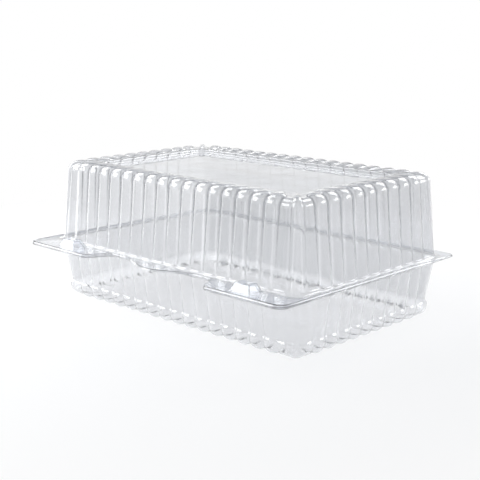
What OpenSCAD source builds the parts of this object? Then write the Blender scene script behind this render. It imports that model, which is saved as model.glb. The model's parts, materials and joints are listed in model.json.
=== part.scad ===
// Clear hinged cake container, formed from one thin plastic sheet.
// A deep ribbed lid closes over a shallower ribbed tray. The two halves face each other across the
// parting plane and turn about the living hinge along the back edge of their flanges.
// Frame: X along the long sides, front with the closures at -Y, hinge at +Y, Z up from the table.

/* [Ribs] */
// Distance from one rib to the next
rib_pitch = 12; // [10:0.5:14]
// Ribs along each long side
long_ribs = 16; // [12:1:20]
// Ribs along each short side
short_ribs = 9; // [6:1:12]
// Depth of the grooves between the ribs of the lid
lid_groove = 1.9; // [0.8:0.1:2.4]
// Depth of the grooves where the lid's ribs run out at its foot
lid_foot_groove = 1.1; // [0.4:0.1:2]
// Depth of the grooves where the lid's ribs run out round the sunken panel
rim_groove = 0.7; // [0.2:0.1:1.4]
// Depth of the grooves between the ribs of the tray
tray_groove = 1.4; // [0.6:0.1:2.2]
// Depth of the scallops round the underside of the tray
scallop = 2.2; // [0.8:0.1:3]

/* [Sheet] */
// Thickness of the formed sheet
sheet = 0.45; // [0.3:0.05:0.8]
// Space between the two halves where they meet at the parting plane
seat_gap = 0.3; // [0.1:0.05:0.6]

/* [Mouth] */
// How far both walls stand out from the field of ribs at the mouth
mouth_reach = 20.4; // [17:0.2:25]
// Corner radius of both walls at the mouth
mouth_radius = 13; // [9:0.5:16]

/* [Lid] */
// Height of the lid above the parting plane
lid_height = 58; // [40:1:80]
// Reach of the lid's wall under its rounded shoulder
shoulder_reach = 16.2; // [13:0.2:18]
// Corner radius of the wall under the shoulder
shoulder_radius = 10; // [7:0.5:13]
// Height of the rounded shoulder
shoulder_drop = 7.4; // [4:0.2:10]
// Reach of the highest line of the ribs
crest_reach = 8.4; // [6:0.2:12]
// Corner radius of the highest line
crest_radius = 6; // [4:0.5:9]
// Run of the ribs from their highest line in to the sunken panel
rim_run = 11; // [6:0.5:16]
// Fall of the ribs from their highest line in to the sunken panel
rim_fall = 0.6; // [0.2:0.1:2]
// Depth of the sunken panel below the ribs
panel_drop = 4.6; // [2:0.2:8]
// Slant of the wall round the sunken panel
panel_slant = 1.8; // [0.5:0.1:4]
// Corner radius of the sunken panel
panel_radius = 5; // [3:0.5:10]

/* [Tray] */
// Depth of the tray below the parting plane
tray_depth = 40; // [28:1:60]
// Reach of the tray's wall at the lower end of its ribs
foot_reach = 16.9; // [14:0.1:20]
// Corner radius of the wall there
foot_radius = 11; // [8:0.5:14]
// Height of the rounded rib ends above the table
foot_height = 8.5; // [5:0.5:14]
// How far the rounded rib ends bulge past a straight slant
foot_bulge = 1; // [0:0.1:2]
// Reach of the bottom that stands on the table
bottom_reach = 13.2; // [9:0.2:15.5]
// Corner radius of the bottom
bottom_radius = 9; // [6:0.5:12]

/* [Flange] */
// Width of the flange past the walls on the short sides
side_flange = 5.4; // [3:0.2:12]
// Width of the flange past the wall on the hinge side
hinge_flange = 9.6; // [5:0.2:16]
// Width of the flange past the wall on the closure side
front_flange = 21; // [17:0.5:30]
// Corner radius of the flange
flange_radius = 7; // [4:0.5:12]
// Height of the turned lip along the flange's edge, from the parting plane
lip_height = 1.7; // [1.2:0.1:3]
// Half the length of the finger notch in the closure side
notch_half = 60; // [48:1:66]
// Length over which each end of the notch curves in
notch_blend = 13; // [8:1:18]
// Width of flange that is left along the notch
notch_land = 4; // [2.5:0.5:8]
// How far the lid's lift tab stands out into the notch
tab_reach = 12; // [4:0.5:16]
// Half the length of the lift tab at its root
tab_half = 36; // [22:1:42]

/* [Closures] */
// Distance of each snap button from the middle of the closure side
snap_x = 84; // [76:1:92]
// Distance of the snap buttons from the wall
snap_out = 10; // [8.5:0.5:12]
// Length of a snap button at its root
snap_length = 17; // [10:0.5:20]
// Width of a snap button at its root
snap_width = 12; // [8:0.5:14]
// Height of the lid's snap buttons above the parting plane
snap_height = 6.4; // [4:0.2:9]
// Slant of a button's sides from root to top
snap_slant = 1.2; // [0.4:0.1:2]
// Space between the lid's buttons and the tray's buttons inside them
snap_gap = 0.45; // [0.3:0.05:0.8]

/* [Hidden] */

core_x = long_ribs * rib_pitch / 2;
core_y = short_ribs * rib_pitch / 2;
mouth_y = core_y + mouth_reach;
flange_outline = [
    core_x + mouth_reach + side_flange,
    mouth_y + front_flange,
    mouth_y + hinge_flange,
    flange_radius
];
seat = seat_gap / 2;
// Least straight stretch kept between the last rib and the corner's arc
corner_flat = 1.5;
// How many ribs beside each corner lean to fit a side that is shorter or longer than the field of ribs
leaning_ribs = 2;
// Least share of such a side along which the ribs stand square
square_share = 0.7;
// Least size that an outline or a corner radius can shrink to
least_size = 0.5;
// Height at which the rounded rib ends bulge most, as a share of foot_height
bulge_level = 0.65;
// Where the columns of points stand within one rib, and how far each rises from groove to crest
rib_steps = [0, 0.16, 0.5, 0.84];
rib_rise = [0, 0.75, 1, 0.75];
// The same along a corner's arc, which carries one narrow rib between two flats
corner_steps = [17, 31, 45, 59, 73];
corner_rise = [0, 0.8, 1, 0.8, 0];
// The flange needs half as many columns
flange_steps = [0, 0.5];
flange_corner_steps = [30, 60];
clear = [0.86, 0.89, 0.91, 0.35];

// Outline of the walls at one level, as half length, front, back and corner radius
function wall_outline(reach, radius) = [core_x + reach, core_y + reach, core_y + reach, radius];
function grown(outline, by) = [for (i = [0:3]) max(outline[i] + by, least_size)];
function smooth(t) = let (u = min(max(t, 0), 1)) u * u * (3 - 2 * u);

// Depth of the finger notch at a place along the front, less the lift tab where there is one
function notch(x, tab) =
    (front_flange - notch_land) * smooth((notch_half - abs(x)) / notch_blend)
    - tab * smooth((tab_half - abs(x)) / tab_half);

// Place along a side: the field of ribs fits the stretch from -span to span by leaning its last ribs
function leaned(x, field, span) =
    let (
        knee = min(field - leaning_ribs * rib_pitch, square_share * span),
        past = max(abs(x) - knee, 0)
    )
    sign(x) * (min(abs(x), knee) + past * (span - knee) / (field - knee));

// One side of an outline, seen as if it were the front: points with their rise and direction
function side_points(span, edge, ribs, steps, rise) =
    let (field = ribs * rib_pitch / 2)
    concat(
        [for (i = [0:ribs - 1], s = [0:len(steps) - 1])
            [leaned((i + steps[s]) * rib_pitch - field, field, span), -edge, rise[s], -90]],
        [[span, -edge, 0, -90]]
    );

function corner_points(half, edge, radius, steps, rise) =
    [for (s = [0:len(steps) - 1])
        let (a = steps[s] - 90)
        [half - radius + radius * cos(a), radius - edge + radius * sin(a), rise[s], a]];

function turned(points, a) =
    [for (p = points) [p[0] * cos(a) - p[1] * sin(a), p[0] * sin(a) + p[1] * cos(a), p[2], p[3] + a]];

// A closed loop of columns round an outline, each with its rise and the way it faces.
// Along each side they fill the straight stretch, or the length [x, y] given for them where that is shorter.
function columns(outline, field, steps, rise, turns, turn_rise) =
    let (
        x = outline[0],
        f = outline[1],
        b = outline[2],
        r = outline[3],
        long_span = min(field[0], x - r - corner_flat),
        short_span = min(field[1], min(f, b) - r - corner_flat)
    )
    concat(
        side_points(long_span, f, long_ribs, steps, rise),
        corner_points(x, f, r, turns, turn_rise),
        turned(side_points(short_span, x, short_ribs, steps, rise), 90),
        turned(corner_points(b, x, r, turns, turn_rise), 90),
        turned(side_points(long_span, b, long_ribs, steps, rise), 180),
        turned(corner_points(x, b, r, turns, turn_rise), 180),
        turned(side_points(short_span, x, short_ribs, steps, rise), 270),
        turned(corner_points(f, x, r, turns, turn_rise), 270)
    );

// A ring of the walls: the grooves are pressed in along the sheet's normal [out, up]
function wall_ring(outline, h, groove, normal) =
    [for (c = columns(outline, [core_x, core_y], rib_steps, rib_rise, corner_steps, corner_rise))
        let (d = groove * (1 - c[2]))
        [c[0] - d * normal[0] * cos(c[3]), c[1] - d * normal[0] * sin(c[3]), h - d * normal[1]]];

// A ring of the flange's edge, with the notch and the tab in its front
function flange_ring(outline, h, tab) =
    [for (c = columns(outline, outline, flange_steps, [0, 0], flange_corner_steps, [0, 0]))
        [c[0], c[1] + (c[3] == -90 ? notch(c[0], tab) : 0), h]];

// Normals [out, up] of a profile of [out, up] points, stretched so that an offset stays even
function unit(v) = v / norm(v);
function across(a, b) = let (d = unit(b - a)) [-d[1], d[0]];
function mitres(p) =
    [for (i = [0:len(p) - 1])
        let (
            n1 = i == 0 ? [0, 1] : across(p[i - 1], p[i]),
            n2 = i == len(p) - 1 ? n1 : across(p[i], p[i + 1])
        )
        (n1 + n2) / (1 + n1 * n2)];

// Faces between two loops of n points, or between 2 n points at a and n at b
function band(a, b, n) =
    [for (i = [0:n - 1])
        let (j = (i + 1) % n)
        each [[a + i, a + j, b + j], [a + i, b + j, b + i]]];
function thinning_band(a, b, n) =
    [for (i = [0:n - 1])
        let (j = (i + 1) % n, p = a + 2 * i, q = a + 2 * i + 1, r = a + 2 * j)
        each [[p, q, b + i], [q, b + j, b + i], [q, r, b + j]]];
function reversed(faces) = [for (f = faces) [f[0], f[2], f[1]]];
function fan(centre, a, n) = [for (i = [0:n - 1]) [centre, a + i, a + (i + 1) % n]];

// One half of the container, as a sheet of even thickness with its cavity below it.
// walls lists [reach, height, radius, groove] from the flat panel out to the mouth.
module formed_half(walls, tab) {
    wall_count = len(walls);
    outlines = concat(
        [for (w = walls) wall_outline(w[0], w[2])],
        [flange_outline, flange_outline]
    );
    heights = concat([for (w = walls) w[1]], [lip_height, seat]);
    profile = [for (i = [0:wall_count + 1]) [outlines[i][0], heights[i]]];
    normals = mitres(profile);
    // Grooves run level into the panel and the flange, and square to the sheet between them
    press = [for (i = [0:wall_count - 1]) i == 0 || i == wall_count - 1 ? [1, 0] : unit(normals[i])];
    skins = [for (depth = [0, sheet])
        concat(
            [for (i = [0:wall_count - 1])
                wall_ring(
                    grown(outlines[i], -depth * normals[i][0]),
                    heights[i] - depth * normals[i][1],
                    walls[i][3],
                    press[i]
                )],
            [for (i = [wall_count, wall_count + 1])
                flange_ring(
                    grown(outlines[i], -depth * normals[i][0]),
                    heights[i] - depth * normals[i][1],
                    tab
                )],
            [[[0, 0, heights[0] - depth]]]
        )];
    points = [for (skin = skins) each [for (ring = skin) each ring]];
    n = len(skins[0][0]);
    m = len(skins[0][wall_count]);
    lip = wall_count * n + m;
    centre = lip + m;
    skin_faces = concat(
        fan(centre, 0, n),
        [for (i = [0:wall_count - 2]) each reversed(band(i * n, (i + 1) * n, n))],
        reversed(thinning_band((wall_count - 1) * n, wall_count * n, m)),
        reversed(band(wall_count * n, lip, m))
    );
    under = centre + 1;
    under_faces = [for (f = reversed(skin_faces)) [f[0] + under, f[1] + under, f[2] + under]];
    edge_faces = reversed(band(lip, lip + under, m));
    polyhedron(points, [for (f = concat(skin_faces, under_faces, edge_faces)) [f[0], f[2], f[1]]]);
}

// Solid block of a snap button, drawn in by the given amount, from one height up to another
module snap_block(inset, from, to) {
    lean = snap_slant * (to - from) / snap_height;
    length = snap_length - 2 * inset;
    width = snap_width - 2 * inset;
    taper = [1 - 2 * lean / length, 1 - 2 * lean / width];
    for (side = [-1, 1])
        translate([side * snap_x, -mouth_y - snap_out, from])
            linear_extrude(height = to - from, scale = taper, slices = 1)
                square([length, width], center = true);
}

module tray() {
    bulge_reach = (bottom_reach + foot_reach) / 2 + foot_bulge;
    walls = [
        [bottom_reach, tray_depth, bottom_radius, scallop],
        [bulge_reach, tray_depth - foot_height * (1 - bulge_level), foot_radius, scallop],
        [foot_reach, tray_depth - foot_height, foot_radius, tray_groove],
        [mouth_reach, seat + sheet, mouth_radius, tray_groove]
    ];
    inset = sheet + snap_gap;
    top = snap_height - sheet - snap_gap;
    color(clear)
        translate([0, 0, tray_depth])
            difference() {
                union() {
                    mirror([0, 0, 1])
                        formed_half(walls, 0);
                    snap_block(inset, -lip_height / 2, top);
                }
                snap_block(inset + sheet, -2 * lip_height, top - sheet);
            }
}

module lid() {
    arc = 1 - sqrt(0.5);
    run = shoulder_reach - crest_reach;
    walls = [
        [crest_reach - rim_run - panel_slant, lid_height - panel_drop, panel_radius, 0],
        [crest_reach - rim_run, lid_height - rim_fall, panel_radius, rim_groove],
        [crest_reach, lid_height, crest_radius, lid_groove],
        [shoulder_reach - run * arc, lid_height - shoulder_drop * arc, (crest_radius + shoulder_radius) / 2,
            lid_groove],
        [shoulder_reach, lid_height - shoulder_drop, shoulder_radius, lid_groove],
        [mouth_reach, seat + sheet, mouth_radius, lid_foot_groove]
    ];
    color(clear)
        translate([0, 0, tray_depth])
            difference() {
                union() {
                    formed_half(walls, tab_reach);
                    snap_block(0, lip_height / 2, snap_height);
                }
                snap_block(sheet, 0, snap_height - sheet);
            }
}

tray();
lid();
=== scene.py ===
# %% [markdown]
# # A clear hinged cake container
# The real container is one sheet of clear plastic, softened by heat and drawn by vacuum over a mould.
# A deep lid and a shallower tray come out side by side, ribbed all round so that the thin sheet stays
# stiff, and fold shut about a crease along the back. This lesson rebuilds both halves as fine skins,
# gives them the thickness of the sheet, adds the crease, and then works on what makes clear plastic
# look like clear plastic: the sheet's own grey, its gloss, and the light that it bends, with painted
# shade and painted light in its tint.
# The imported model comes first. It is the fixed frame that every piece is placed in, in metres.

# %% Load the imported model
import json
import math

import bmesh
import bpy
import numpy as np
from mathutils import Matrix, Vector


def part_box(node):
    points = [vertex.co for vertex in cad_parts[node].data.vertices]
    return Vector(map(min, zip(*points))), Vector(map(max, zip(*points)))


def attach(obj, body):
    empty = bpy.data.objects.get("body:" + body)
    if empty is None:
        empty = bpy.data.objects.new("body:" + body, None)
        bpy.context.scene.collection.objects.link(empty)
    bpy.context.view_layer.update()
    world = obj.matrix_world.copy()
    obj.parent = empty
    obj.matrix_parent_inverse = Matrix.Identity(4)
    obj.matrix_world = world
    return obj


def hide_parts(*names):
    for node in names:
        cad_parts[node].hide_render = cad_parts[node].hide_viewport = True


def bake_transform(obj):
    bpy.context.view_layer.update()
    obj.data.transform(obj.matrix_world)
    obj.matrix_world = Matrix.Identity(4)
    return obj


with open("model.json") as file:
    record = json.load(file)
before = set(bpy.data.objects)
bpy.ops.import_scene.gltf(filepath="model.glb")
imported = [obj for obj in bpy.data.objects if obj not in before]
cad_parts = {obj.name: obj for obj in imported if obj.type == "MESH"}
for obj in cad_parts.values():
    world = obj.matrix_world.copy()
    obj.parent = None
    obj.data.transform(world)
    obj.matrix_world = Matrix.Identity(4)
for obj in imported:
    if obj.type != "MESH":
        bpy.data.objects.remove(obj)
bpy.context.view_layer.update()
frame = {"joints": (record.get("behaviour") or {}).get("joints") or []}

# %% [markdown]
# ## The camera
# The picture is taken from the front right corner, a little above the lid. A lens of 76 mm on a
# full-frame sensor, 0.7 m away, keeps the long sides nearly parallel, as a product photograph does.
# The camera is placed before any piece is made.

# %% Camera at the photograph's viewing angle
CAMERA_AT = Vector((0.4816, -0.5009, 0.2013))
CAMERA_AZIMUTH = math.radians(44.0)
CAMERA_ELEVATION = math.radians(12.67)
CAMERA_LENS = 75.96

towards_camera = Vector((
    math.sin(CAMERA_AZIMUTH) * math.cos(CAMERA_ELEVATION),
    -math.cos(CAMERA_AZIMUTH) * math.cos(CAMERA_ELEVATION),
    math.sin(CAMERA_ELEVATION),
))
camera = bpy.data.objects.new("camera", bpy.data.cameras.new("camera"))
camera.data.lens = CAMERA_LENS
camera.location = CAMERA_AT
camera.rotation_mode = "QUATERNION"
camera.rotation_quaternion = (-towards_camera).to_track_quat("-Z", "Y")
bpy.context.scene.collection.objects.link(camera)
bpy.context.scene.camera = camera
print("camera at", tuple(CAMERA_AT), "lens", CAMERA_LENS)

# %% [markdown]
# ## Sizes
# Every level of both halves is a rounded rectangle that stands a certain reach out from one field of
# ribs: sixteen along each long side and nine along each short one. So the few values below, with the
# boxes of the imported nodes, are what all the shapes start from.

# %% Sizes shared by both halves
MM = 0.001
RIB_PITCH = 12 * MM
LONG_RIBS = 16
SHORT_RIBS = 9
FIELD = (LONG_RIBS * RIB_PITCH / 2, SHORT_RIBS * RIB_PITCH / 2)
SHEET = 0.45 * MM
MOUTH_REACH = 20.4 * MM
MOUTH_RADIUS = 13 * MM
SEAT = 0.15 * MM
LIP_HEIGHT = 1.3 * MM

hinge_at = Vector(frame["joints"][0]["pos_m"])
tray_low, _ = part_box("tray")
lid_low, lid_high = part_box("lid")
parting_z = hinge_at.z
lid_height = lid_high.z - parting_z
tray_depth = parting_z - tray_low.z
flange_x = lid_high.x
flange_front = -lid_low.y
flange_back = lid_high.y
mouth_y = FIELD[1] + MOUTH_REACH
mouth_height = SEAT + SHEET
print("lid", round(lid_height / MM, 1), "mm over the parting plane")
print("tray", round(tray_depth / MM, 1), "mm under it")

# %% [markdown]
# ## Columns of points round the walls
# A ribbed wall could be made by bending flat strips or by cutting grooves with booleans, but both
# leave seams where ribs meet the rounded shoulder. Here the wall is a grid instead. Its columns run
# up the ribs, a dozen to each rib and closest together in the grooves, and its rings are the levels
# of the mould. Each side starts on a flat, runs through its ribs, and ends with the last groove and
# another flat. Then the columns turn the corner.

# %% Columns along a rib and round a corner
RIB_STEPS = np.array([0, 0.03, 0.075, 0.14, 0.23, 0.36, 0.5, 0.64, 0.77, 0.86, 0.925, 0.97])
CORNER_STEPS = np.radians([0, 8, 14, 18, 22, 27, 33, 39, 45, 51, 57, 63, 68, 72, 76, 82, 90])
SIDE_RIBS = (LONG_RIBS, SHORT_RIBS, LONG_RIBS, SHORT_RIBS)
BESIDE_RIBS = 3


def round_the_walls(rib, groove, flat, corner):
    """One value for each column, from those along a rib, in a groove, on a flat and round a corner."""
    sides = [([flat], np.tile(rib, ribs), [groove, flat], corner) for ribs in SIDE_RIBS]
    return np.concatenate([stretch for side in sides for stretch in side])


print("columns to a rib:", len(RIB_STEPS), "and to a corner:", len(CORNER_STEPS))

# %% [markdown]
# Each column knows only how far it rises from groove to crest. A rib is a broad pillow with a narrow
# groove beside it, fuller on the lid than on the tray, and each corner carries one more narrow rib
# between two flats. Two further shares go with the rise, and colour the sheet later with painted shade:
# how far a column belongs to a groove's dark line, and how far to the toe of a rib.

# %% How far each column rises
LID_FULLNESS = 3.2
TRAY_FULLNESS = 2.1
LID_CORNER_DEPTH = 1.0
TRAY_CORNER_DEPTH = 0.45
CORNER_MIDDLE = math.radians(45)
CORNER_RIB_HALF = math.radians(28)
CORNER_FULLNESS = 2.4
CORNER_LINE = math.radians(7)
GROOVE_SOFTNESS = 0.14


def softened(rise):
    """Rounds the bottom of a groove and leaves the crest where it is."""
    top = math.hypot(1, GROOVE_SOFTNESS) - GROOVE_SOFTNESS
    return (np.hypot(rise, GROOVE_SOFTNESS) - GROOVE_SOFTNESS) / top


from_middle = np.abs(CORNER_STEPS - CORNER_MIDDLE)
corner_rise = softened(np.clip(1 - (from_middle / CORNER_RIB_HALF) ** CORNER_FULLNESS, 0, 1))
corner_groove_shade = np.clip(1 - np.abs(from_middle - CORNER_RIB_HALF) / CORNER_LINE, 0, 1)


def ribbing(fullness, corner_depth):
    """For each column its rise from groove to crest, its share in a groove's painted dark line and in a rib's
    toe.
    """
    rib_rise = softened(1 - np.abs(2 * RIB_STEPS - 1) ** fullness)
    corner = 1 - corner_depth * (1 - corner_rise)
    rise = round_the_walls(rib_rise, 0.0, corner[0], corner)
    groove_shade = round_the_walls(1 - rib_rise, 1.0, 0.0, corner_depth * corner_groove_shade)
    toe = round_the_walls(rib_rise, 0.0, 0.0, 0 * corner)
    return rise, groove_shade, toe


lid_ribbing = ribbing(LID_FULLNESS, LID_CORNER_DEPTH)
tray_ribbing = ribbing(TRAY_FULLNESS, TRAY_CORNER_DEPTH)
COLUMNS = len(lid_ribbing[0])
print("columns round the walls:", COLUMNS)

# %% [markdown]
# A ring needs the columns placed on one rounded rectangle. Along a side the ribs keep their places,
# and only the last two beside a corner lean, to fit a side that is shorter than the field of ribs, as
# at the sunken panel, or longer, as at the flange. The flats stand close beside the last grooves, so
# that each groove keeps a clean edge.

# %% Placing the columns on a rounded rectangle
LEANING_RIBS = 2
SQUARE_SHARE = 0.7
CORNER_FLAT = 1.5 * MM
GROOVE_EDGE = 0.22


def leaned(along, field, span):
    """Fits places along the field of ribs to a stretch from -span to span."""
    knee = min(field - LEANING_RIBS * RIB_PITCH, SQUARE_SHARE * span)
    past = np.maximum(np.abs(along) - knee, 0)
    return np.sign(along) * (np.minimum(np.abs(along), knee) + past * (span - knee) / (field - knee))


def loop(half_x, front, back, radius, stretch=False):
    """Plan points and outward directions of all the columns on one rounded rectangle."""
    points = []
    outward = []
    edges = (front, half_x, back, half_x)
    corners = (half_x, back, half_x, front)
    for side, ribs in enumerate(SIDE_RIBS):
        field = ribs * RIB_PITCH / 2
        straight = min(corners[side], corners[side - 2]) - radius - CORNER_FLAT
        span = straight if stretch else min(field, straight)
        along = (np.arange(ribs)[:, None] + RIB_STEPS).ravel() * RIB_PITCH - field
        before, after = (span + GROOVE_EDGE * (corners[end] - radius - span) for end in (side - 2, side))
        along = np.concatenate([[-before], leaned(np.append(along, field), field, span), [after]])
        angle = CORNER_STEPS - math.pi / 2
        x = np.concatenate([along, corners[side] - radius + radius * np.cos(angle)])
        y = np.concatenate([np.full(len(along), -edges[side]), radius - edges[side] + radius * np.sin(angle)])
        facing = np.concatenate([np.full(len(along), -math.pi / 2), angle]) + side * math.pi / 2
        c, s = math.cos(side * math.pi / 2), math.sin(side * math.pi / 2)
        points.append(np.stack([c * x - s * y, s * x + c * y], 1))
        outward.append(np.stack([np.cos(facing), np.sin(facing)], 1))
    return np.concatenate(points), np.concatenate(outward)


mouth_plan, _ = loop(FIELD[0] + MOUTH_REACH, mouth_y, mouth_y, MOUTH_RADIUS)
print("mouth", [round(v / MM, 1) for v in np.ptp(mouth_plan, axis=0)], "mm")

# %% [markdown]
# ## Walls
# A wall is a profile of levels from the flat middle out to the mouth. Each level gives its reach, its
# height, its corner radius and how deep the grooves are there. "Square" says how the grooves are
# pressed: 1 is square to the sheet, so that they turn with the lid's rounded shoulder, and 0 is level,
# so that the flat bottom and the flange stay flat. "Clear" marks the flats, which get a lighter tint as
# painted light. In the photograph the sheet is greyest along the hinge, and that grey is painted shade
# here. So one share says how much painted shade the wall takes there, and "toe" how much goes into the
# toes of the ribs. Both only darken the sheet's tint later. The painted groove lines fade on that side,
# where the sheet looks more even.

# %% Rings of a wall from its profile
BACK_EVENNESS = 0.6


def smooth(t):
    """A ramp from 0 to 1 with level ends."""
    t = np.clip(t, 0, 1)
    return t * t * (3 - 2 * t)


def level(reach, height, radius, groove=0, square=0, clear=0, shaded=0, toe=0):
    """One level of a wall's profile."""
    return (reach, height, radius, groove, square, clear, shaded, toe)


def wall_rings(levels, columns, deepest, left_share):
    """Rings of x, y, z, painted shade share and painted light share, one for each level."""
    column_rise, column_groove_shade, column_toe = columns
    levels = np.array(levels)
    tangent = np.gradient(levels[:, :2], axis=0)
    normal = np.stack([-tangent[:, 1], tangent[:, 0]], 1)
    normal /= np.linalg.norm(normal, axis=1)[:, None]
    square = levels[:, 4:5]
    press = square * normal + (1 - square) * (1, 0)
    press /= np.linalg.norm(press, axis=1)[:, None]
    rings = []
    for (reach, height, radius, groove, _, clear, shaded, toe), (out, up) in zip(levels, press):
        plan, outward = loop(FIELD[0] + reach, FIELD[1] + reach, FIELD[1] + reach, radius)
        depth = (groove * (1 - column_rise))[:, None]
        # Painted shade: the hinge side of both halves, the tray's left wall and the toes on the hinge side
        # are tinted darker.
        at_back = smooth(outward[:, 1])
        at_left = left_share * smooth(-outward[:, 0])
        painted_shade = np.maximum(at_back * np.maximum(shaded, toe * column_toe), at_left * shaded)
        groove_shade = groove / deepest * column_groove_shade * (1 - BACK_EVENNESS * at_back)
        share = np.maximum(groove_shade, painted_shade)[:, None]
        rings.append(np.hstack([plan - depth * out * outward, height - depth * up, share, 0 * share + clear]))
    return rings


print("values in a level:", len(level(0, 0, 0)))

# %% [markdown]
# Between its named levels a profile is either straight or a quarter of an ellipse. Two short helpers
# make the levels in between, so that a shoulder can be finer than a wall. Neither repeats the last
# level, because the next stretch starts with it.

# %% Stretches of a profile
def between(first, last, count):
    """Levels spaced evenly from one to another, without the last."""
    first, last = np.array(first), np.array(last)
    return [tuple(first + (last - first) * i / count) for i in range(count)]


def quarter_round(first, last, count, rise_first):
    """Levels along a quarter of an ellipse, which leaves first along its rise or along its run."""
    first, last = np.array(first), np.array(last)
    made = []
    for i in range(count):
        a = math.pi / 2 * i / count
        t = i / count
        step = first + (last - first) * t
        run, rise = (1 - math.cos(a), math.sin(a)) if rise_first else (math.sin(a), 1 - math.cos(a))
        step[0] = first[0] + (last[0] - first[0]) * run
        step[1] = first[1] + (last[1] - first[1]) * rise
        made.append(tuple(step))
    return made


halfway = quarter_round(level(0, 0, 0), level(1, 1, 0), 2, rise_first=True)[1]
print("halfway round a quarter: run", round(halfway[0], 2), "rise", round(halfway[1], 2))

# %% [markdown]
# ## Flange, finger notch and lift tab
# Past the mouth the sheet turns out into a flange. Its edge is another rounded rectangle, wide at the
# front for the closures, narrow at the short sides. In the middle of the front it draws back into a
# finger notch, where the lid alone keeps a lift tab. The edge is turned over into a small lip, which
# takes painted shade and so looks greyer than the flange, most of all along the short sides; the flat
# flange takes painted light. It fades out towards the back, where the sheet runs on into the crease.

# %% Rings of a flange
NOTCH_HALF = 60 * MM
NOTCH_BLEND = 13 * MM
NOTCH_LAND = 4 * MM
TAB_REACH = 12 * MM
TAB_HALF = 36 * MM
FLANGE_RADIUS = 7 * MM
LIP_RUN = 0.7 * MM
LIP_SHARES = ((1, 0), (0.9, 0.07), (0.5, 0.48), (0.08, 0.92), (0, 1))
LIP_FADE = 30 * MM
LIP_FRONT_SHADE = 0.58
LIP_SIDE_SHADE = 0.72
LIP_THIN_SHARE = 0.4
FLANGE_STEPS = np.array([
    0.04, 0.09, 0.15, 0.22, 0.29, 0.36, 0.43, 0.5, 0.57, 0.64, 0.71, 0.78, 0.85, 0.91, 0.96])

front_columns = np.arange(COLUMNS) < LONG_RIBS * len(RIB_STEPS) + BESIDE_RIBS


def notched(x, tab):
    """How far the front edge draws back at a place along it."""
    depth = (flange_front - mouth_y - NOTCH_LAND) * smooth((NOTCH_HALF - np.abs(x)) / NOTCH_BLEND)
    return depth - tab * smooth((TAB_HALF - np.abs(x)) / TAB_HALF)


def edge_ring(inset, drop, tab):
    """The flange's edge, drawn in by an inset, a share of the lip's height below its top."""
    plan, outward = loop(
        flange_x - inset, flange_front - inset, flange_back - inset, FLANGE_RADIUS - inset, stretch=True)
    plan[:, 1] += np.where(front_columns, notched(plan[:, 0], tab), 0)
    fade = smooth((plan[:, 1:] - LIP_FADE) / (flange_back - LIP_FADE))
    lip = LIP_HEIGHT + (mouth_height - LIP_HEIGHT) * fade
    height = lip + (SEAT - lip) * drop
    turned = min(1, drop / LIP_THIN_SHARE) * (1 - fade)
    # Painted shade on the turned lip, darker along the short sides; the flange inside it takes the clear
    # share, which is painted light.
    shaded = LIP_FRONT_SHADE + (LIP_SIDE_SHADE - LIP_FRONT_SHADE) * smooth(np.abs(outward[:, :1]))
    return np.hstack([plan, height, shaded * turned, 1 - turned])


def flange_rings(mouth_ring, tab):
    """Rings from the mouth out to the turned lip."""
    lip = [edge_ring(LIP_RUN * inset, drop, tab) for inset, drop in LIP_SHARES]
    return [mouth_ring + (lip[0] - mouth_ring) * step for step in FLANGE_STEPS] + lip


print("rings of a flange:", len(FLANGE_STEPS) + len(LIP_SHARES))

# %% [markdown]
# ## Snap buttons
# Two small domed boxes near the front corners hold the container shut: the lid's are hollow and close
# over lower ones on the tray. They could be separate boxes set on the flange, but the real ones are
# pressed out of the same sheet. So the flange's quads are cut finer there and then raised, with slanted
# sides, which is just what the mould does.

# %% Raising the snap buttons
SNAP_X = 84 * MM
SNAP_OUT = 10 * MM
SNAP_LENGTH = 17 * MM
SNAP_WIDTH = 12 * MM
SNAP_SLANT = 2.7 * MM
SNAP_MARGIN = 1.0 * MM
SNAP_CUTS = 2

flange_band = 2 * LIP_HEIGHT
snap_y = -mouth_y - SNAP_OUT


def raise_buttons(skin, inset, top):
    """Draws the two snap buttons up out of the flange of a skin."""
    half_length = SNAP_LENGTH / 2 - inset
    half_width = SNAP_WIDTH / 2 - inset

    def near(v, margin):
        return abs(abs(v.x) - SNAP_X) < half_length + margin and abs(v.y - snap_y) < half_width + margin

    faces = [f for f in skin.faces if near(f.calc_center_median(), SNAP_MARGIN)
             and max(abs(v.co.z) for v in f.verts) < flange_band]
    edges = {e for f in faces for e in f.edges}
    bmesh.ops.subdivide_edges(skin, edges=list(edges), cuts=SNAP_CUTS, use_grid_fill=True)
    for v in skin.verts:
        if abs(v.co.z) < flange_band and near(v.co, 0):
            along = (half_length - abs(abs(v.co.x) - SNAP_X)) / SNAP_SLANT
            across = (half_width - abs(v.co.y - snap_y)) / SNAP_SLANT
            v.co.z += (top - v.co.z) * min(1, along, across)


print("snap buttons", round(-snap_y / MM, 1), "mm in front of the middle")

# %% [markdown]
# ## From rings to a sheet
# The rings are joined by quads and the flat middle is closed with a fan. A Solidify modifier then
# gives the single skin its thickness on the inner side, and the result is kept as a plain mesh. A skin
# of two hand-made sides would need every ring offset by hand. The painted shade share and the clear
# share, which paints light on the flats, are kept on the points as two attributes, which the material will
# read.

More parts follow.
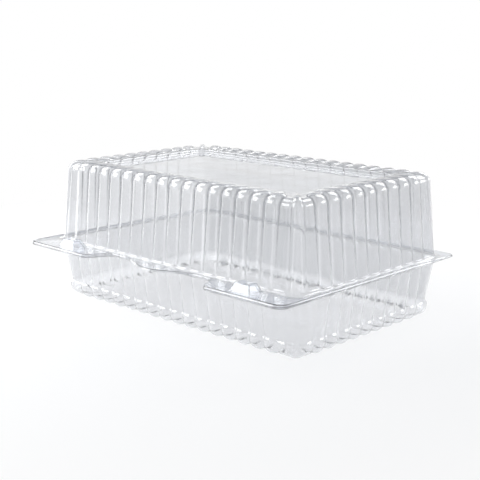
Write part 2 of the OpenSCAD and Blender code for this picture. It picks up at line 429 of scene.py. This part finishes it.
# %% Joining the rings and thickening the skin
def joined_skin(rings, below):
    """A single skin through the rings, closed in the middle, above the parting plane or below it."""
    skin = bmesh.new()
    # The "groove" attribute holds the painted shade share, and "clear" the share of painted light on the
    # flats.
    groove = skin.verts.layers.float.new("groove")
    clear = skin.verts.layers.float.new("clear")
    points = np.concatenate(rings)
    if below:
        points = points * (1, 1, -1, 1, 1)
    verts = [skin.verts.new(p[:3]) for p in points]
    for v, p in zip(verts, points):
        v[groove], v[clear] = p[3:]
    middle = skin.verts.new((0, 0, points[0][2]))
    for i in range(COLUMNS):
        j = (i + 1) % COLUMNS
        skin.faces.new((middle, verts[i], verts[j]))
        for r in range(0, len(points) - COLUMNS, COLUMNS):
            skin.faces.new((verts[r + i], verts[r + COLUMNS + i], verts[r + COLUMNS + j], verts[r + j]))
    return skin


def formed_sheet(name, rings, below, inset, button_top):
    """A piece of formed sheet from its outer rings."""
    skin = joined_skin(rings, below)
    raise_buttons(skin, inset, button_top)
    if below:
        bmesh.ops.reverse_faces(skin, faces=skin.faces[:])
    for face in skin.faces:
        face.smooth = True
    mesh = bpy.data.meshes.new(name)
    skin.to_mesh(mesh)
    skin.free()
    made = bpy.data.objects.new(name, mesh)
    bpy.context.scene.collection.objects.link(made)
    made.location.z = parting_z
    thickness = made.modifiers.new("sheet", "SOLIDIFY")
    thickness.thickness = SHEET
    thickness.offset = -1
    thickness.use_quality_normals = True
    whole = bpy.data.meshes.new_from_object(made.evaluated_get(bpy.context.evaluated_depsgraph_get()))
    made.modifiers.clear()
    made.data = whole
    print(name, len(whole.vertices), "points,", len(whole.polygons), "faces")
    return made


# %% [markdown]
# ## The lid
# From the middle outwards: a sunken panel with a slight crown, its slanted wall, the tops of the ribs,
# a rounded shoulder, the long slanted wall, and a small fillet at the mouth. The panel comes first. It
# is nearly flat, so a few rings are enough, with small rounds where it turns up into its wall and where
# the wall meets the rib tops.

# %% Lid: sunken panel and its rim
CREST_REACH = 8.4 * MM
RIM_RUN = 11 * MM
RIM_FALL = 1.3 * MM
RIM_GROOVE = 0.8 * MM
RIM_ROUND = 1.4 * MM
RIM_SHARES = ((-0.1, 0.42, 0.2), (0.35, 0.13, 0.6), (1, 0, 1))
PANEL_DROP = 4.6 * MM
PANEL_SLANT = 1.8 * MM
PANEL_RADIUS = 5 * MM
PANEL_CROWN = 0.7 * MM
# The panel's share of the lighter flat tint is painted light.
PANEL_PAINTED_LIGHT = 0.25
FLAT_STEPS = [step * MM for step in (44, 32, 20, 10)]
FLAT_RADIUS = 0.4
EDGE_ROUND = 1.0 * MM
EDGE_RUN, EDGE_RISE = 0.3, 0.1
RECESS_FOOT_RUN, RECESS_FOOT_RISE = 0.1, 0.12
RECESS_HEAD_RUN, RECESS_HEAD_FALL = 0.3, 0.25
RECESS_RINGS = 3

rim_reach = CREST_REACH - RIM_RUN
rim_height = lid_height - RIM_FALL
panel_reach = rim_reach - PANEL_SLANT
panel_height = lid_height - PANEL_DROP

lid_levels = []
for step in FLAT_STEPS:
    crown = PANEL_CROWN * (step / FLAT_STEPS[0])
    lid_levels.append(level(-step, panel_height + crown, PANEL_RADIUS * FLAT_RADIUS, clear=PANEL_PAINTED_LIGHT))
lid_levels += [
    level(panel_reach - EDGE_ROUND, panel_height, PANEL_RADIUS, clear=PANEL_PAINTED_LIGHT),
    level(panel_reach - EDGE_RUN * EDGE_ROUND, panel_height + EDGE_RISE * EDGE_ROUND, PANEL_RADIUS),
]
recess_foot = level(
    panel_reach + RECESS_FOOT_RUN * PANEL_SLANT, panel_height + RECESS_FOOT_RISE * PANEL_DROP, PANEL_RADIUS)
recess_head = level(
    rim_reach - RECESS_HEAD_RUN * PANEL_SLANT, rim_height - RECESS_HEAD_FALL * PANEL_DROP, PANEL_RADIUS)
lid_levels += between(recess_foot, recess_head, RECESS_RINGS)
lid_levels.append(recess_head)
for run, fall, groove in RIM_SHARES:
    lid_levels.append(level(
        rim_reach + run * RIM_ROUND, rim_height - fall * RIM_ROUND, PANEL_RADIUS,
        groove * RIM_GROOVE, square=1))
print("lid panel and rim:", len(lid_levels), "levels")

# %% [markdown]
# The rib tops rise gently from the rim, and the shoulder turns them down into the wall. It is where the
# eye rests on the real lid, so it gets the most rings. The grooves are deepest there and run out
# towards the mouth.

# %% Lid: rib tops, shoulder, wall and mouth
CREST_RADIUS = 6 * MM
SHOULDER_REACH = 16.2 * MM
SHOULDER_RADIUS = 10 * MM
SHOULDER_DROP = 7.4 * MM
LID_GROOVE = 1.9 * MM
LID_FOOT_GROOVE = 1.1 * MM
LID_MOUTH_INSET = 0.2 * MM
LID_MOUTH_ROUND = 2.4 * MM
LAND_GROOVE = 0.3
KNEE_RUN, KNEE_RISE, KNEE_GROOVE = 0.4, 0.7, 0.8
# How much painted shade the rib tops, the wall and the land take on the hinge side.
CREST_SHADE, LID_WALL_SHADE, LID_LAND_SHADE = 0.8, 0.73, 0.82
CREST_RINGS, SHOULDER_RINGS, LID_WALL_RINGS, LID_MOUTH_RINGS = 3, 9, 7, 5

knee = level(
    rim_reach + KNEE_RUN * RIM_RUN, rim_height + KNEE_RISE * RIM_FALL, CREST_RADIUS,
    KNEE_GROOVE * LID_GROOVE, square=1)
crest = level(CREST_REACH, lid_height, CREST_RADIUS, LID_GROOVE, square=1, shaded=CREST_SHADE)
shoulder = level(
    SHOULDER_REACH, lid_height - SHOULDER_DROP, SHOULDER_RADIUS, LID_GROOVE, square=1, shaded=LID_WALL_SHADE)
lid_mouth = level(
    MOUTH_REACH - LID_MOUTH_INSET, mouth_height + LID_MOUTH_ROUND, MOUTH_RADIUS, LID_FOOT_GROOVE,
    shaded=LID_WALL_SHADE)
lid_land = level(
    MOUTH_REACH + LID_MOUTH_ROUND, mouth_height, MOUTH_RADIUS, LAND_GROOVE * LID_FOOT_GROOVE,
    shaded=LID_LAND_SHADE)
lid_levels += between(knee, crest, CREST_RINGS)
lid_levels += quarter_round(crest, shoulder, SHOULDER_RINGS, rise_first=False)
lid_levels += between(shoulder, lid_mouth, LID_WALL_RINGS)
lid_levels += quarter_round(lid_mouth, lid_land, LID_MOUTH_RINGS, rise_first=True)
lid_levels.append(lid_land)
print("lid:", len(lid_levels), "levels in all")

# %% [markdown]
# With its levels in place, the lid is rings, then a flange with the lift tab, then a sheet. It takes the
# place of the imported lid and moves with it.

# %% Lid: the formed sheet
SNAP_HEIGHT = 6.4 * MM

lid_rings = wall_rings(lid_levels, lid_ribbing, LID_GROOVE, left_share=0)
lid_rings += flange_rings(lid_rings[-1], TAB_REACH)
lid = formed_sheet("clear_lid", lid_rings, below=False, inset=0, button_top=SNAP_HEIGHT)
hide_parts("lid")
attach(lid, "lid")

# %% [markdown]
# ## The tray
# The tray hangs below the parting plane, so its rings are made upwards and then turned over. Its flat
# bottom is scalloped along the edge, where the mould presses up between the ribs, and the ribs end in
# round toes a little above the table. On the hinge side those toes take painted shade, which makes a
# row of dark dashes when one looks through the front wall.

# %% Tray: flat bottom, scallops and toes
BOTTOM_REACH = 13.2 * MM
BOTTOM_RADIUS = 9 * MM
BOTTOM_SHARES = (0.3, 0.3, 0.3, 0.5, 0.8)
SCALLOP = 2.1 * MM
SCALLOP_RUN = 4 * MM
FOOT_REACH = 16.9 * MM
FOOT_RADIUS = 11 * MM
FOOT_HEIGHT = 8.5 * MM
TRAY_GROOVE = 1.4 * MM
TOE_OUT = 0.3 * MM
# Painted shade of the tray's wall on the hinge side and the left, and of the dark dashes in the toes.
TRAY_WALL_SHADE, TOE_SHADE, FOOT_TOE_SHADE = 0.67, 1.1, 0.35
FOOT_RINGS = 8

flat_reaches = [-step for step in FLAT_STEPS[:-1]] + [0, BOTTOM_REACH - SCALLOP_RUN]
# The tray's bottom takes the lighter flat tint in full, as painted light.
tray_levels = [
    level(reach, tray_depth, share * BOTTOM_RADIUS, clear=1)
    for reach, share in zip(flat_reaches, BOTTOM_SHARES)
]
bottom = level(BOTTOM_REACH, tray_depth, BOTTOM_RADIUS, SCALLOP, square=1, toe=TOE_SHADE)
foot = level(
    FOOT_REACH + TOE_OUT, tray_depth - FOOT_HEIGHT, FOOT_RADIUS, TRAY_GROOVE,
    shaded=TRAY_WALL_SHADE, toe=FOOT_TOE_SHADE)
tray_levels += quarter_round(bottom, foot, FOOT_RINGS, rise_first=False)
print("tray bottom and toes:", len(tray_levels), "levels")

# %% [markdown]
# Above each toe the rib steps in over a small ledge, and then runs straight up to the mouth. The ledge
# catches the light on the real tray, so it is modelled and not left to a bump in the material.

# %% Tray: ledge, wall and mouth
TOE_IN = 0.7 * MM
TOE_RISE = 1.8 * MM
PAST_LEDGE = 1.5
TRAY_MOUTH_INSET = 0.1 * MM
TRAY_MOUTH_ROUND = 1.4 * MM
LEDGE_RINGS, TRAY_WALL_RINGS, TRAY_MOUTH_RINGS = 4, 6, 4

ledge_reach = FOOT_REACH - TOE_IN
foot_top = tray_depth - FOOT_HEIGHT
ledge = level(ledge_reach, foot_top - TOE_RISE, FOOT_RADIUS, TRAY_GROOVE, shaded=TRAY_WALL_SHADE)
past_ledge = level(ledge_reach, foot_top - PAST_LEDGE * TOE_RISE, FOOT_RADIUS, TRAY_GROOVE, shaded=TRAY_WALL_SHADE)
tray_mouth = level(
    MOUTH_REACH - TRAY_MOUTH_INSET, mouth_height + TRAY_MOUTH_ROUND, MOUTH_RADIUS, TRAY_GROOVE,
    shaded=TRAY_WALL_SHADE)
tray_land = level(
    MOUTH_REACH + TRAY_MOUTH_ROUND, mouth_height, MOUTH_RADIUS, LAND_GROOVE * TRAY_GROOVE,
    shaded=TRAY_WALL_SHADE)
tray_levels += between(foot, ledge, LEDGE_RINGS)
tray_levels.append(ledge)
tray_levels += between(past_ledge, tray_mouth, TRAY_WALL_RINGS)
tray_levels += quarter_round(tray_mouth, tray_land, TRAY_MOUTH_RINGS, rise_first=True)
tray_levels.append(tray_land)
print("tray:", len(tray_levels), "levels in all")

# %% [markdown]
# The tray's flange has the notch but no tab, and its buttons are smaller by the sheet and a small gap,
# so that the lid's close over them. In the photograph its left wall is a little greyer than the right
# one, so that wall takes painted shade too, by a share of its own.

# %% Tray: the formed sheet
SCALLOP_LINE = 1.45
TRAY_LEFT_SHARE = 0.92
SNAP_GAP = 0.45 * MM

tray_rings = wall_rings(tray_levels, tray_ribbing, SCALLOP_LINE * SCALLOP, TRAY_LEFT_SHARE)
tray_rings += flange_rings(tray_rings[-1], 0)
tray_button_top = SNAP_HEIGHT - 2 * SHEET - SNAP_GAP
tray = formed_sheet("clear_tray", tray_rings, below=True, inset=SHEET + SNAP_GAP, button_top=tray_button_top)
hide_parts("tray")
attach(tray, "tray")

# %% [markdown]
# ## The crease along the back
# On the real container lid and tray are one sheet, bent double along the back edge of the flange. That
# bend is a thin strip of its own here: a half-round nose between the two lips, placed in the world and
# attached to neither body.

# %% Living hinge: the strip
HINGE_HALF = 110 * MM
HINGE_RISE = 0.6 * MM
HINGE_SHEET = 0.25 * MM
HINGE_ARC = 10
HINGE_SPANS = 60

crease = bmesh.new()
rows = []
for i in range(HINGE_SPANS + 1):
    x = -HINGE_HALF + 2 * HINGE_HALF * i / HINGE_SPANS
    row = []
    for depth in (0, HINGE_SHEET):
        for k in range(HINGE_ARC + 1):
            a = math.pi * (k / HINGE_ARC - 0.5)
            y = hinge_at.y - depth - HINGE_SHEET * (1 - math.cos(a))
            row.append(crease.verts.new((x, y, parting_z + HINGE_RISE * math.sin(a))))
    rows.append(row[:HINGE_ARC + 1] + row[:HINGE_ARC:-1])
for first, second in zip(rows, rows[1:]):
    for k in range(len(first)):
        n = (k + 1) % len(first)
        crease.faces.new((first[k], second[k], second[n], first[n]))
crease.faces.new(rows[0])
crease.faces.new(rows[-1][::-1])
bmesh.ops.recalc_face_normals(crease, faces=crease.faces[:])
hinge_mesh = bpy.data.meshes.new("living_hinge")
crease.to_mesh(hinge_mesh)
crease.free()
print("living hinge", len(hinge_mesh.polygons), "faces")

# %% [markdown]
# A piece that rides on one body would tear away from the other when the lid opens. Here the strip is
# only linked to the scene, with its placement baked into its points.

# %% Living hinge: the object
living_hinge = bpy.data.objects.new("living_hinge", hinge_mesh)
bpy.context.scene.collection.objects.link(living_hinge)
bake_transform(living_hinge)
print("living hinge blended over", round(2 * HINGE_RISE / MM, 1), "mm")

# %% [markdown]
# ## Clear plastic
# Clear sheet is hardly ever colourless: seen against white, each wall holds back a little light. It
# stays thick where it first touched the cool mould, in the grooves, and is drawn thin over the ribs, so
# the grooves take darker lines, which are painted shade; the back and left walls, the toes and the lip
# take painted shade as well, and the flats painted light. The sheet is also a little uneven, with draw
# marks that run down the walls. These effects are one node group, placed in each material with its own
# values. First come the group's sockets: three tints, two roughnesses and the size of the marks.

# %% Node group: its sockets
def new_group(name, inputs, outputs):
    """A shader node group with named sockets, and its two end nodes."""
    group = bpy.data.node_groups.new(name, "ShaderNodeTree")
    for socket_name, kind, value in inputs:
        socket = group.interface.new_socket(socket_name, in_out="INPUT", socket_type=kind)
        socket.default_value = value
    for socket_name, kind in outputs:
        group.interface.new_socket(socket_name, in_out="OUTPUT", socket_type=kind)
    return group, group.nodes.new("NodeGroupInput"), group.nodes.new("NodeGroupOutput")


sheet_group, given, result = new_group(
    "formed_sheet",
    [
        # The second tint paints shade on the grooves and shaded places; the third paints light on the flats.
        ("Thin Tint", "NodeSocketColor", (0.9, 0.9, 0.9, 1)),
        ("Shade Tint", "NodeSocketColor", (0.6, 0.6, 0.6, 1)),
        ("Flat Light Tint", "NodeSocketColor", (0.950, 0.958, 0.976, 1)),
        ("Least Roughness", "NodeSocketFloat", 0.03),
        ("Most Roughness", "NodeSocketFloat", 0.1),
        ("Wave Scale", "NodeSocketFloat", 40.0),
    ],
    [("Tint", "NodeSocketColor"), ("Roughness", "NodeSocketFloat"), ("Height", "NodeSocketFloat")],
)
print("node group:", sheet_group.name)

# %% [markdown]
# The tint reads the two shares that the walls keep on their points. Only the upper part of the painted
# shade share darkens, with soft ends, so that a groove is a fine painted line and not a broad shade. The
# flats then take a lighter tint of their own, which is painted light.

# %% Node group: tint
SHADE_LINE_START = 0.45
CLEAR_FULL = 0.25

nodes, link = sheet_group.nodes, sheet_group.links.new
painted_shade_share = nodes.new("ShaderNodeAttribute")
painted_shade_share.attribute_name = "groove"
painted_shade_ramp = nodes.new("ShaderNodeMapRange")
painted_shade_ramp.interpolation_type = "SMOOTHSTEP"
painted_shade_ramp.inputs["From Min"].default_value = SHADE_LINE_START
painted_shade_ramp.inputs["From Max"].default_value = 1.0
link(painted_shade_share.outputs["Fac"], painted_shade_ramp.inputs["Value"])
tint = nodes.new("ShaderNodeMix")
tint.data_type = "RGBA"
link(painted_shade_ramp.outputs["Result"], tint.inputs["Factor"])
link(given.outputs["Thin Tint"], tint.inputs["A"])
link(given.outputs["Shade Tint"], tint.inputs["B"])
# The clear share lightens the flats: painted light.
clear_share = nodes.new("ShaderNodeAttribute")
clear_share.attribute_name = "clear"
painted_light_share = nodes.new("ShaderNodeMapRange")
painted_light_share.inputs["From Max"].default_value = CLEAR_FULL
link(clear_share.outputs["Fac"], painted_light_share.inputs["Value"])
flat_tint = nodes.new("ShaderNodeMix")
flat_tint.data_type = "RGBA"
link(painted_light_share.outputs["Result"], flat_tint.inputs["Factor"])
link(tint.outputs["Result"], flat_tint.inputs["A"])
link(given.outputs["Flat Light Tint"], flat_tint.inputs["B"])
link(flat_tint.outputs["Result"], result.inputs["Tint"])
print("tint: thick from", SHADE_LINE_START, "up, clear in full from", CLEAR_FULL)

# %% [markdown]
# The draw marks are a noise that is stretched along the walls. It gives the height for a faint bump,
# and the same noise makes some places hazier than others, as on any sheet that has slid over a mould.

# %% Node group: waves and haze
DRAW_STRETCH = (1, 1, 0.25)
WAVE_DETAIL = 2
HAZE_FROM, HAZE_TO = 0.3, 0.7

place = nodes.new("ShaderNodeTexCoord")
draw = nodes.new("ShaderNodeMapping")
draw.inputs["Scale"].default_value = DRAW_STRETCH
link(place.outputs["Object"], draw.inputs["Vector"])
waves = nodes.new("ShaderNodeTexNoise")
waves.inputs["Detail"].default_value = WAVE_DETAIL
link(draw.outputs["Vector"], waves.inputs["Vector"])
link(given.outputs["Wave Scale"], waves.inputs["Scale"])
link(waves.outputs["Fac"], result.inputs["Height"])
haze = nodes.new("ShaderNodeMapRange")
link(waves.outputs["Fac"], haze.inputs["Value"])
haze.inputs["From Min"].default_value = HAZE_FROM
haze.inputs["From Max"].default_value = HAZE_TO
link(given.outputs["Least Roughness"], haze.inputs["To Min"])
link(given.outputs["Most Roughness"], haze.inputs["To Max"])
link(haze.outputs["Result"], result.inputs["Roughness"])
print("group nodes:", len(nodes))

# %% [markdown]
# The material is a Principled shader with full transmission, so that it bends light and mirrors the
# studio as the real sheet does. Lamps can't look through glass in a path tracer without a great many
# samples, so for shadow and diffuse rays the sheet is simply a tinted film, which gives the pale shadow
# that a clear container has.

# %% Material: clear sheet
WAVE_DEPTH = 0.03 * MM
PLASTIC_IOR = 1.5


def clear_plastic(name, thin, shaded, flat, film_tint, wave_scale):
    """Clear plastic for one piece, from the shared group."""
    material = bpy.data.materials.new(name)
    material.use_nodes = True
    tree = material.node_tree
    connect = tree.links.new
    shader = tree.nodes["Principled BSDF"]
    shader.inputs["IOR"].default_value = PLASTIC_IOR
    shader.inputs["Transmission Weight"].default_value = 1.0
    sheet = tree.nodes.new("ShaderNodeGroup")
    sheet.node_tree = sheet_group
    sheet.inputs["Thin Tint"].default_value = (*thin, 1)
    sheet.inputs["Shade Tint"].default_value = (*shaded, 1)
    sheet.inputs["Flat Light Tint"].default_value = (*flat, 1)
    sheet.inputs["Wave Scale"].default_value = wave_scale
    connect(sheet.outputs["Tint"], shader.inputs["Base Color"])
    connect(sheet.outputs["Roughness"], shader.inputs["Roughness"])
    bump = tree.nodes.new("ShaderNodeBump")
    bump.inputs["Distance"].default_value = WAVE_DEPTH
    connect(sheet.outputs["Height"], bump.inputs["Height"])
    connect(bump.outputs["Normal"], shader.inputs["Normal"])
    film = tree.nodes.new("ShaderNodeBsdfTransparent")
    film.inputs["Color"].default_value = (*film_tint, 1)
    path = tree.nodes.new("ShaderNodeLightPath")
    soft_rays = tree.nodes.new("ShaderNodeMath")
    soft_rays.operation = "MAXIMUM"
    connect(path.outputs["Is Shadow Ray"], soft_rays.inputs[0])
    connect(path.outputs["Is Diffuse Ray"], soft_rays.inputs[1])
    mix = tree.nodes.new("ShaderNodeMixShader")
    connect(soft_rays.outputs["Value"], mix.inputs["Fac"])
    connect(shader.outputs["BSDF"], mix.inputs[1])
    connect(film.outputs["BSDF"], mix.inputs[2])
    connect(mix.outputs["Shader"], tree.nodes["Material Output"].inputs["Surface"])
    print("material:", name)
    return material


# %% [markdown]
# The three pieces are one plastic, but each has its own tints. The lid's wall is drawn deeper and looks
# greyer, the tray's painted shade is darker, and the crease is bent thin and nearly clear. The dark
# tints are painted shade and the flat tints painted light.

# %% Plastic of the lid, the tray and the crease
# The dark tints are painted shade; the flat tints are painted light on the flats.
LID_TINT = (0.884, 0.891, 0.906)
LID_SHADE_TINT = (0.52, 0.53, 0.55)
LID_FLAT_TINT = (0.940, 0.957, 0.985)
LID_FILM = (0.970, 0.971, 0.973)
LID_WAVES = 60
TRAY_TINT = (0.910, 0.916, 0.928)
TRAY_SHADE_TINT = (0.28, 0.29, 0.31)
TRAY_FLAT_TINT = (0.958, 0.959, 0.968)
TRAY_FILM = (0.988, 0.989, 0.990)
TRAY_WAVES = 70
HINGE_TINT = (0.965, 0.970, 0.980)
HINGE_WAVES = 80

lid_plastic = clear_plastic("lid_plastic", LID_TINT, LID_SHADE_TINT, LID_FLAT_TINT, LID_FILM, LID_WAVES)
tray_plastic = clear_plastic(
    "tray_plastic", TRAY_TINT, TRAY_SHADE_TINT, TRAY_FLAT_TINT, TRAY_FILM, TRAY_WAVES)
hinge_plastic = clear_plastic("hinge_plastic", HINGE_TINT, HINGE_TINT, HINGE_TINT, LID_FILM, HINGE_WAVES)
for mesh, plastic in ((lid.data, lid_plastic), (tray.data, tray_plastic), (hinge_mesh, hinge_plastic)):
    mesh.materials.clear()
    mesh.materials.append(plastic)

# %% [markdown]
# ## Studio
# The container stands on a pale floor under a white world. The floor is one large quad, a hair below
# the tray so that the two never share a plane.

# %% Floor
FLOOR_SIZE = 6.0
FLOOR_DROP = 0.0002

half = FLOOR_SIZE / 2
floor_corners = [(-half, -half, 0), (half, -half, 0), (half, half, 0), (-half, half, 0)]
floor_mesh = bpy.data.meshes.new("floor")
floor_mesh.from_pydata(floor_corners, [], [(0, 1, 2, 3)])
floor = bpy.data.objects.new("floor", floor_mesh)
bpy.context.scene.collection.objects.link(floor)
floor.location.z = tray_low.z - FLOOR_DROP
print("floor", FLOOR_SIZE, "m wide")

# %% [markdown]
# Near the container the floor is a plain matt surface that keeps the soft shadow. Further out it turns
# into white light, so that it meets the world without an edge. That light is there only for rays from
# the camera, in mirrors and through glass: it must not light the container.

# %% Floor material
FLOOR_COLOUR = (0.95, 0.95, 0.95, 1)
FLOOR_ROUGHNESS = 0.9
MATT_RADIUS = 0.18
WHITE_RADIUS = 0.45

pale_floor = bpy.data.materials.new("pale_floor")
pale_floor.use_nodes = True
nodes, link = pale_floor.node_tree.nodes, pale_floor.node_tree.links.new
matt = nodes["Principled BSDF"]
matt.inputs["Base Color"].default_value = FLOOR_COLOUR
matt.inputs["Roughness"].default_value = FLOOR_ROUGHNESS
place = nodes.new("ShaderNodeTexCoord")
distance = nodes.new("ShaderNodeVectorMath")
distance.operation = "LENGTH"
link(place.outputs["Object"], distance.inputs[0])
outer = nodes.new("ShaderNodeMapRange")
outer.interpolation_type = "SMOOTHSTEP"
outer.inputs["From Min"].default_value = MATT_RADIUS
outer.inputs["From Max"].default_value = WHITE_RADIUS
link(distance.outputs["Value"], outer.inputs["Value"])
path = nodes.new("ShaderNodeLightPath")
seen = nodes.new("ShaderNodeMath")
seen.operation = "MAXIMUM"
link(path.outputs["Is Camera Ray"], seen.inputs[0])
link(path.outputs["Is Transmission Ray"], seen.inputs[1])
seen_or_mirrored = nodes.new("ShaderNodeMath")
seen_or_mirrored.operation = "MAXIMUM"
link(seen.outputs["Value"], seen_or_mirrored.inputs[0])
link(path.outputs["Is Glossy Ray"], seen_or_mirrored.inputs[1])
share = nodes.new("ShaderNodeMath")
share.operation = "MULTIPLY"
link(outer.outputs["Result"], share.inputs[0])
link(seen_or_mirrored.outputs["Value"], share.inputs[1])
white = nodes.new("ShaderNodeEmission")
mix = nodes.new("ShaderNodeMixShader")
link(share.outputs["Value"], mix.inputs["Fac"])
link(matt.outputs["BSDF"], mix.inputs[1])
link(white.outputs["Emission"], mix.inputs[2])
link(mix.outputs["Shader"], nodes["Material Output"].inputs["Surface"])
floor_mesh.materials.append(pale_floor)
print("floor: matt to", MATT_RADIUS, "m, white from", WHITE_RADIUS, "m")

# %% [markdown]
# ## World
# The world is white at the level of the eye, as a studio's backdrop is, and grows grey overhead. A
# world that is white all over would be simpler, but then the shoulders and the rib tops, which mirror
# what is above them, would vanish against the backdrop.

# %% World
SKY_WHITE_TO = 0.08
SKY_GREY_FROM = 0.75
SKY_GREY = (0.20, 0.207, 0.22, 1)

world = bpy.data.worlds.new("studio")
bpy.context.scene.world = world
world.use_nodes = True
nodes, link = world.node_tree.nodes, world.node_tree.links.new
place = nodes.new("ShaderNodeTexCoord")
split = nodes.new("ShaderNodeSeparateXYZ")
link(place.outputs["Generated"], split.inputs["Vector"])
sky = nodes.new("ShaderNodeValToRGB")
level_end, top_end = sky.color_ramp.elements
level_end.position = SKY_WHITE_TO
level_end.color = (1, 1, 1, 1)
top_end.position = SKY_GREY_FROM
top_end.color = SKY_GREY
link(split.outputs["Z"], sky.inputs["Fac"])
link(sky.outputs["Color"], nodes["Background"].inputs["Color"])
print("world:", world.name)

# %% [markdown]
# ## Cards and light strips
# In a studio that is white all round, clear plastic loses its outlines, because what it mirrors is as
# bright as what it lets through. A photographer stands cards beside it, out of view: a black one for
# the front, a grey one for the right. Light strips between them draw a light line down the flank of
# each rib, and one more over the back whitens the tops of the far ribs. All of them show only in
# reflections here: they light nothing and cast no shadow.

# %% A card that only shows in reflections
CARD_RADIUS = 0.36
CARD_HEIGHT = 0.09
CARD_STEPS = 12


def standing_card(name, facing, spread, material, low=0, high=CARD_HEIGHT):
    """A curved card that stands round the container, from an angle less a spread to it and more."""
    points = []
    for i in range(CARD_STEPS + 1):
        a = math.radians(facing + spread * (2 * i / CARD_STEPS - 1))
        x, y = CARD_RADIUS * math.cos(a), CARD_RADIUS * math.sin(a)
        points += [(x, y, low), (x, y, high)]
    mesh = bpy.data.meshes.new(name)
    mesh.from_pydata(points, [], [(2 * i, 2 * i + 2, 2 * i + 3, 2 * i + 1) for i in range(CARD_STEPS)])
    mesh.materials.append(material)
    card = bpy.data.objects.new(name, mesh)
    bpy.context.scene.collection.objects.link(card)
    card.visible_camera = card.visible_diffuse = card.visible_transmission = card.visible_shadow = False
    print(name, "at", facing, "degrees")


# %% [markdown]
# The cards are matt paper and the strips are white light. Their angles go round from +X towards +Y. A
# ribbed wall mirrors a narrow sweep of the studio in each rib, so a card's angle decides which flank of
# the ribs it shades or lights.

# %% Cards and strips round the container
CARD_ROUGHNESS = 0.9
STRIP_STRENGTH = 2.3


def card_paper(name, shade):
    """Matt paper of one shade."""
    material = bpy.data.materials.new(name)
    material.use_nodes = True
    shader = material.node_tree.nodes["Principled BSDF"]
    shader.inputs["Base Color"].default_value = (*shade, 1)
    shader.inputs["Roughness"].default_value = CARD_ROUGHNESS
    return material


card_black = card_paper("card_black", (0.05, 0.05, 0.05))
card_grey = card_paper("card_grey", (0.45, 0.45, 0.46))
strip_white = bpy.data.materials.new("strip_white")
strip_white.use_nodes = True
strip_light = strip_white.node_tree.nodes["Principled BSDF"]
strip_light.inputs["Emission Color"].default_value = (1, 1, 1, 1)
strip_light.inputs["Emission Strength"].default_value = STRIP_STRENGTH

standing_card("card_front_left", -121, 26, card_black)
standing_card("card_back_right", 45, 36, card_grey)
standing_card("strip_front", -80, 6, strip_white)
standing_card("strip_left", 184, 22, strip_white)
standing_card("strip_right", -8, 6, strip_white)
standing_card("strip_back", 106, 6, strip_white)
standing_card("strip_over_back", 131, 12, strip_white, low=0.212, high=0.25)

# %% [markdown]
# ## Lamps
# Clear plastic shows a lamp as a white patch with the lamp's own shape, so the lamps are large soft
# rectangles, as in a product studio. A broad key lamp lights the floor and the shadow. One on each side
# gives the shoulder over that side its row of highlights. Small bulbs would leave hard white dots.

# %% Lamps
LAMPS_AIM = Vector((0, 0, 0.05))
LAMP_DISTANCE = 0.95


def softbox(name, towards, width, height, power):
    """A rectangular soft lamp in one direction from the container, facing it."""
    lamp = bpy.data.lights.new(name, "AREA")
    lamp.shape = "RECTANGLE"
    lamp.size, lamp.size_y = width, height
    lamp.energy = power
    made = bpy.data.objects.new(name, lamp)
    direction = Vector(towards).normalized()
    made.location = LAMPS_AIM + LAMP_DISTANCE * direction
    made.rotation_mode = "QUATERNION"
    made.rotation_quaternion = (-direction).to_track_quat("-Z", "Y")
    bpy.context.scene.collection.objects.link(made)
    print(name, "at", [round(v, 2) for v in made.location], power, "W")


softbox("key_softbox", (0.45, -0.62, 0.64), width=1.0, height=0.7, power=1.75)
softbox("left_softbox", (-0.72, -0.08, 0.69), width=0.38, height=0.62, power=2.8)
softbox("back_softbox", (0.08, 0.72, 0.69), width=0.38, height=0.62, power=2.8)
softbox("front_softbox", (-0.665, -0.61, 0.43), width=0.54, height=0.44, power=3.5)
softbox("right_softbox", (0.63, 0.71, 0.30), width=0.42, height=0.22, power=1.4)

# %% [markdown]
# ## Light paths and view
# A look through the closed container passes a dozen surfaces, and through the flange more. Blender's
# usual limit of 12 bounces would leave those places black, so the limit is raised. The plain Standard
# view shows each colour as it is written.

# %% Light paths and view
SURFACES_PASSED = 32
TIMES_MIRRORED = 12

cycles = bpy.context.scene.cycles
cycles.max_bounces = SURFACES_PASSED
cycles.transmission_bounces = SURFACES_PASSED
cycles.transparent_max_bounces = SURFACES_PASSED
cycles.glossy_bounces = TIMES_MIRRORED
bpy.context.scene.view_settings.view_transform = "Standard"
print("bounces:", cycles.max_bounces, "in all,", cycles.glossy_bounces, "mirrored")
